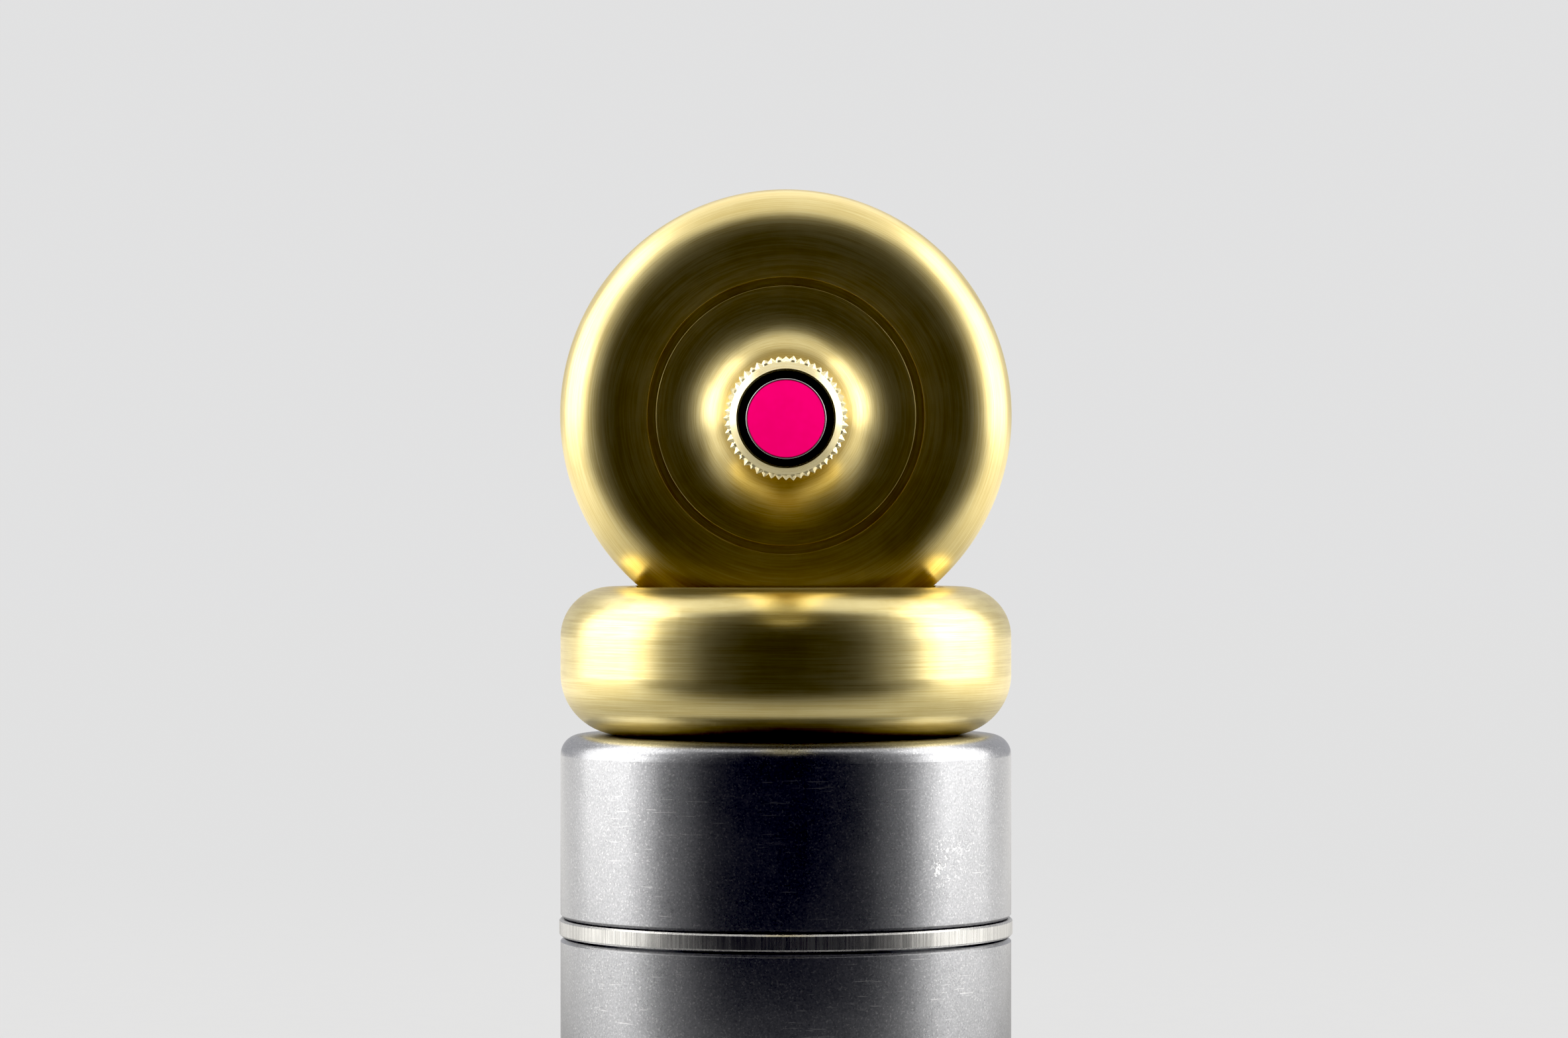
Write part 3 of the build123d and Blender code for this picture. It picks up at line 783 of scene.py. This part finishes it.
@dataclass
class Bezel:
    """The diamond-knurled nut on the stem's end."""

    front: float = -33.95 * MM
    back: float = -28.15 * MM
    seat: float = -32.55 * MM
    root: float = 4.1 * MM
    tip: float = 4.65 * MM
    bead: float = 3.72 * MM
    cone_foot: float = 0.14 * MM
    lip_bore: float = 3.44 * MM
    thread: float = 3.87 * MM
    rear_chamfer: float = 0.3 * MM
    bead_round: float = 0.1 * MM
    diamonds: int = 26
    columns: int = 208
    rows: int = 54
    rows_per_diamond: int = 12
    levels: int = 8
    off_wall: float = 0.004 * MM
    least_worn: float = 0.82
    sharp: float = 12.0

    def outline(self, start: float, pitch: float) -> list[Corner]:
        """The outline, with a row of points along the wall that is knurled.

        Args:
            start: where the knurl begins.
            pitch: how far its rows of points lie apart.

        Returns:
            The corners.
        """
        wall = [Corner(self.root, start + row * pitch) for row in range(self.rows + 1)]
        return [
            Corner(self.lip_bore, self.front, self.bead_round),
            Corner(self.bead, self.front, self.bead_round),
            Corner(self.bead, self.front + self.cone_foot),
            *wall,
            Corner(self.tip - self.rear_chamfer, self.back),
            Corner(self.thread, self.back),
            Corner(self.thread, self.seat),
            Corner(self.lip_bore, self.seat),
        ]

    def build(self, stock: Stock) -> None:
        """Turn the nut, raise its diamonds as far as the cone allows and screw it on the stem."""
        start = self.front + self.cone_foot + self.root - self.bead
        pitch = (self.back - self.rear_chamfer - start) / self.rows
        piece = turned("bezel_knurled", self.outline(start, pitch), self.columns, SMALL_ARC_STEPS)
        step = 2 * math.pi / self.columns
        depth = self.tip - self.root
        per_diamond = self.columns // self.diamonds
        dice = random.Random(3)
        worn = [dice.uniform(self.least_worn, 1.0) for _ in range(2 * self.diamonds)]

        def fold(index: int, period: int) -> float:
            """From 0 at the middle of each period to 1 halfway between two of them."""
            return abs((index + period / 2) % period - period / 2) / (period / 2)

        def level_of(place: Vector) -> int:
            """How high the knurl stands at a point of the wall, in levels."""
            out, angle = polar(place)
            row = round((place.y - start) / pitch)
            if abs(out - self.root) > self.off_wall or not 0 <= row <= self.rows:
                return 0
            column = round(angle / step) % self.columns
            height = abs(1 - fold(row, self.rows_per_diamond) - fold(column, per_diamond))
            height *= worn[((2 * column + per_diamond // 2) // per_diamond) % len(worn)]
            return round(min(height, row * pitch / depth) * self.levels)

        for level in range(self.levels, 0, -1):
            grow = 1 + depth / self.root * level / self.levels
            pick(piece, lambda place, level=level: level_of(place) == level)
            bpy.ops.transform.resize(value=(grow, 1, grow), center_override=(0, 0, 0))
        settle(piece, HEAD.matrix(), self.sharp)
        finish_piece(piece, "turret", "stem_brass", "bezel_nut", stock)


@dataclass
class ButtonCap:
    """The metal cup that holds the coloured insert, with a rounded rim."""

    front: float = -37.15 * MM
    seat: float = -36.05 * MM
    outer: float = 2.94 * MM
    rim: float = 0.12 * MM
    rim_round: float = 0.055 * MM
    flange_front: float = -31.35 * MM
    flange: float = 3.15 * MM
    back: float = -30.75 * MM
    socket: float = 1.82 * MM
    socket_end: float = -34.77 * MM
    steps: int = 160

    def build(self, stock: Stock) -> None:
        """Turn the cup and let it ride on the plunger."""
        outline = [
            Corner(0.0, self.seat),
            Corner(self.outer - self.rim, self.seat),
            Corner(self.outer - self.rim, self.front, self.rim_round),
            Corner(self.outer, self.front, self.rim_round),
            Corner(self.outer, self.flange_front),
            Corner(self.flange, self.flange_front),
            Corner(self.flange, self.back),
            Corner(self.socket, self.back),
            Corner(self.socket, self.socket_end),
            Corner(0.0, self.socket_end),
        ]
        piece = settle(turned("button_cup", outline, self.steps, SMALL_ARC_STEPS), HEAD.matrix())
        finish_piece(piece, "plunger", "button_metal", "button_cap", stock)


@dataclass
class LockRing:
    """The thin ring between base and barrel, with a finely cut grip."""

    low: float = 16.2 * MM
    high: float = 17.55 * MM
    inner: float = 15.65 * MM
    outer: float = 18.1 * MM
    chamfer: float = 0.15 * MM
    teeth: int = 164
    deep: float = 0.03 * MM
    depths: tuple[float, ...] = (0.45, 0.7, 1.0)
    reach: float = 0.16 * MM
    sharp: float = 12.0

    def build(self, stock: Stock) -> None:
        """Turn the ring and cut its teeth to uneven depths."""
        outline = [
            Corner(self.inner, self.low),
            Corner(self.outer - self.chamfer, self.low),
            Corner(self.outer, self.low + self.chamfer),
            Corner(self.outer, self.high - self.chamfer),
            Corner(self.outer - self.chamfer, self.high),
            Corner(self.inner, self.high),
        ]
        piece = turned("lock_ring_grip", outline, 2 * self.teeth)
        step = math.pi / self.teeth
        dice = random.Random(7)
        depth_of = [dice.choice(self.depths) for _ in range(2 * self.teeth)]
        for share in self.depths:

            def in_groove(place: Vector, share: float = share) -> bool:
                """Every other column of the outer wall that is cut to this depth."""
                out, angle = polar(place)
                column = round(angle / step) % (2 * self.teeth)
                on_wall = out > self.outer - self.reach
                return on_wall and column % 2 == 1 and depth_of[column] == share

            shrink = 1 - share * self.deep / self.outer
            pick(piece, in_groove)
            bpy.ops.transform.resize(value=(shrink, 1, shrink), center_override=(0, 0, 0))
        settle(piece, UPRIGHT, self.sharp)
        finish_piece(piece, "lock_ring", "lock_ring_steel", "lock_ring", stock)


@dataclass
class ReturnSpring:
    """The coil spring between the post and the button; in the bell it flattens as the button is pressed."""

    mean: float = 2.5 * MM
    wire: float = 0.25 * MM
    back: float = -14.9 * MM
    front: float = -30.75 * MM
    turns: int = 9
    turn_steps: int = 40
    wire_sides: int = 12
    sharp: float = 40.0
    travel: float = 3.0 * MM

    def build(self, stock: Stock) -> None:
        """Wind the spring and hang it on the turret, with a mesh of its own."""
        clear_bench()
        bpy.ops.mesh.primitive_circle_add(
            vertices=self.wire_sides, radius=self.wire, fill_type="NOTHING", location=(self.mean, 0, 0)
        )
        piece = bpy.context.object
        piece.name = piece.data.name = "return_spring_coil"
        bpy.ops.object.transform_apply(location=True, rotation=True, scale=True)
        length = self.back - self.front - 2 * self.wire
        winding = piece.modifiers.new("winding", "SCREW")
        winding.axis = "Y"
        winding.angle = 2 * math.pi
        winding.screw_offset = length / self.turns
        winding.iterations = self.turns
        winding.steps = winding.render_steps = self.turn_steps
        bpy.ops.object.modifier_apply(modifier=winding.name)
        bpy.ops.object.mode_set(mode="EDIT")
        bpy.ops.mesh.select_all(action="SELECT")
        bpy.ops.mesh.remove_doubles(threshold=MERGE)
        bpy.ops.mesh.select_all(action="SELECT")
        bpy.ops.mesh.fill_holes(sides=0)
        lowest = min(vertex.co.y for vertex in bmesh.from_edit_mesh(piece.data).verts)
        bpy.ops.mesh.select_all(action="SELECT")
        bpy.ops.transform.translate(value=(0, self.front - lowest, 0))
        settle(piece, HEAD.matrix(), self.sharp)
        finish_piece(piece, "turret", "spring_steel", "return_spring", stock)
        tuple(HEAD.back())
        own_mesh(piece)


@dataclass
class Dressing:
    """Gives every CAD node that stays its finish."""

    def build(self, stock: Stock) -> None:
        """Put each node's material in its slots."""
        for row in frame["record"]["subparts"]:
            node = frame["nodes"][row["node"]]
            if node.hide_render:
                continue
            node.data.materials.clear()
            node.data.materials.append(stock[row["material_slot"]])
            LOG.info("%s keeps its shape, in %s", row["node"], row["material_slot"])


# ---- Studio ----


class Side(Enum):
    """The side of the bell that a lamp hangs on, as the sign of its turn."""

    RIGHT = 1
    LEFT = -1


@dataclass(frozen=True)
class Panel:
    """A flat studio lamp that faces the bell and isn't seen by the camera itself."""

    name: str
    turn: float
    lift: float
    distance: float
    width: float
    height: float
    glow: float
    colour: Colour = (1.0, 0.985, 0.96)

    def hung(self, side: Side) -> "Panel":
        """The lamp of this pair that hangs on one side."""
        return replace(self, name=f"{self.name}_{side.name.lower()}", turn=side.value * self.turn)

    def light(self, target: Vector) -> None:
        """Hang the lamp.

        Args:
            target: where it points.
        """
        turn, lift = math.radians(self.turn), math.radians(self.lift)
        away = Vector((math.sin(turn) * math.cos(lift), -math.cos(turn) * math.cos(lift), math.sin(lift)))
        data = bpy.data.lights.new(self.name, "AREA")
        data.shape = "RECTANGLE"
        data.size, data.size_y = self.width, self.height
        data.energy = self.glow * math.pi * self.width * self.height
        data.color = self.colour
        lamp = bpy.data.objects.new(self.name, data)
        lamp.location = target + away * self.distance
        lamp.rotation_euler = away.to_track_quat("Z", "Y").to_euler()
        lamp.visible_camera = False
        bpy.context.scene.collection.objects.link(lamp)


@dataclass
class Studio:
    """Floor, lamps, surroundings and camera."""

    backdrop: float = 0.76
    eye: tuple[float, float, float] = (-0.15 * MM, -430 * MM, 49.4 * MM)
    lens: float = 123.5
    pale_tint: Colour = (1.0, 1.0, 1.003)
    room_tint: Colour = (0.97, 0.97, 1.0)
    fade_over: tuple[float, float] = (0.35, 0.85)
    fade_glow: tuple[float, float] = (0.0012, 0.55)
    deep_black: float = 0.017
    blue_black: float = 0.8
    target_height: float = 40 * MM
    pairs: tuple[Panel, ...] = (
        Panel("side", 104, 15, distance=0.60, width=0.46, height=0.92, glow=2.8),
        Panel("wing", 75, 12, distance=0.57, width=0.19, height=0.84, glow=0.50),
        Panel("spark", 80, 8, distance=0.55, width=0.20, height=0.28, glow=1.7),
        Panel("fore_wing", 56, 10, distance=0.55, width=0.17, height=0.76, glow=0.24),
    )
    top: Panel = Panel("top", 180, 72, distance=0.50, width=0.80, height=0.76, glow=0.92)
    floor_front: float = -0.16
    floor_back: float = 2.4
    floor_half: float = 1.6
    floor_near: float = 0.08
    floor_far: float = 0.42
    floor_glow: float = 0.80
    floor_paper: tuple[Colour, Colour] = ((0.095, 0.095, 0.095), (0.105, 0.105, 0.105))
    floor_grain: float = 300.0
    mirror_tint: Colour = (1.0, 0.98, 0.94)
    mirror_from: tuple[float, float] = (-0.085, -0.015)
    mirror_half: tuple[float, float] = (0.035, 0.12)
    mirror_glow: tuple[float, float] = (0.55, 1.15)

    def floor(self) -> None:
        """A plain pale floor that fades into the backdrop."""
        clear_bench()
        depth = self.floor_back - self.floor_front
        bpy.ops.mesh.primitive_plane_add(size=1, location=(0, self.floor_front + depth / 2, 0))
        floor = bpy.context.object
        floor.name = "floor"
        floor.scale = (2 * self.floor_half, depth, 1)
        bpy.ops.object.transform_apply(location=True, rotation=True, scale=True)
        paint = Paint("floor")
        where = paint.place()
        across, depthwise, _ = paint.split(where)
        grain = paint.noise(where, self.floor_grain, 3.0)
        away = paint.step(paint.length(across, depthwise), self.floor_near, self.floor_far)
        paper = paint.blend(*self.floor_paper, grain)
        paint.surface(
            Base_Color=paint.blend(paper, (0.0, 0.0, 0.0), away),
            Roughness=0.9,
            Specular_IOR_Level=0.0,
            Emission_Color=paint.blend((self.floor_glow,) * 3, (1.0, 1.0, 1.0), away),
            Emission_Strength=self.backdrop,
        )
        near, far = self.mirror_half
        wide = paint.step(across * across, near * near, far * far, *self.mirror_glow)
        strength = paint.step(depthwise, *self.mirror_from) * wide
        mirrored = paint.node("ShaderNodeEmission", sockets={"Color": self.mirror_tint, "Strength": strength})
        glossy = paint.node("ShaderNodeLightPath", out="Is Glossy Ray")
        paint.choose(glossy, Signal(paint, paint.shader.outputs[0]), mirrored)
        floor.data.materials.append(paint.material)

    def surroundings(self) -> None:
        """A pale backdrop, with a dark room in the reflections."""
        world = bpy.data.worlds.new("studio")
        bpy.context.scene.world = world
        world.use_nodes = True
        sky = Wiring(world.node_tree)
        _, depthwise, _ = sky.split(sky.node("ShaderNodeTexCoord", out="Generated"))
        fade = sky.step(depthwise, *self.fade_over, *self.fade_glow)
        pale = sky.node("ShaderNodeBackground", sockets={"Color": self.pale_tint, "Strength": self.backdrop})
        room = sky.node("ShaderNodeBackground", sockets={"Color": self.room_tint, "Strength": fade})
        sky.choose(sky.node("ShaderNodeLightPath", out="Is Glossy Ray"), pale, room)

    def lamps(self) -> None:
        """Side lamps from behind the bell to before it, in pairs, and a broad one above."""
        target = Vector((0, 0, self.target_height))
        for side in Side:
            for panel in self.pairs:
                panel.hung(side).light(target)
        self.top.light(target)

    def camera(self) -> None:
        """A level camera before the button."""
        data = bpy.data.cameras.new("camera")
        data.lens, data.sensor_width = self.lens, 36
        data.clip_start, data.clip_end = 0.01, 20
        camera = bpy.data.objects.new("camera", data)
        camera.location = self.eye
        camera.rotation_euler = (math.radians(90), 0, 0)
        bpy.context.scene.collection.objects.link(camera)
        bpy.context.scene.camera = camera
        view = bpy.context.scene.view_settings
        view.view_transform = "Standard"
        view.use_curve_mapping = True
        view.curve_mapping.black_level = (self.deep_black, self.deep_black, self.blue_black * self.deep_black)
        view.curve_mapping.update()

    def build(self, stock: Stock) -> None:
        """Set up the studio."""
        self.floor()
        self.surroundings()
        self.lamps()
        self.camera()


def main() -> None:
    """Build the pieces in order, dress them and set up the studio."""
    logging.basicConfig(level=logging.INFO, format="%(name)s: %(message)s")
    stock = {slot: finish.material() for slot, finish in FINISHES.items()}
    for part in (Gong(), Bezel(), ButtonCap(), LockRing(), ReturnSpring(), Dressing(), Studio()):
        LOG.info("building %s", type(part).__name__)
        part.build(stock)
    clear_bench()


if __name__ == "__main__":
    main()
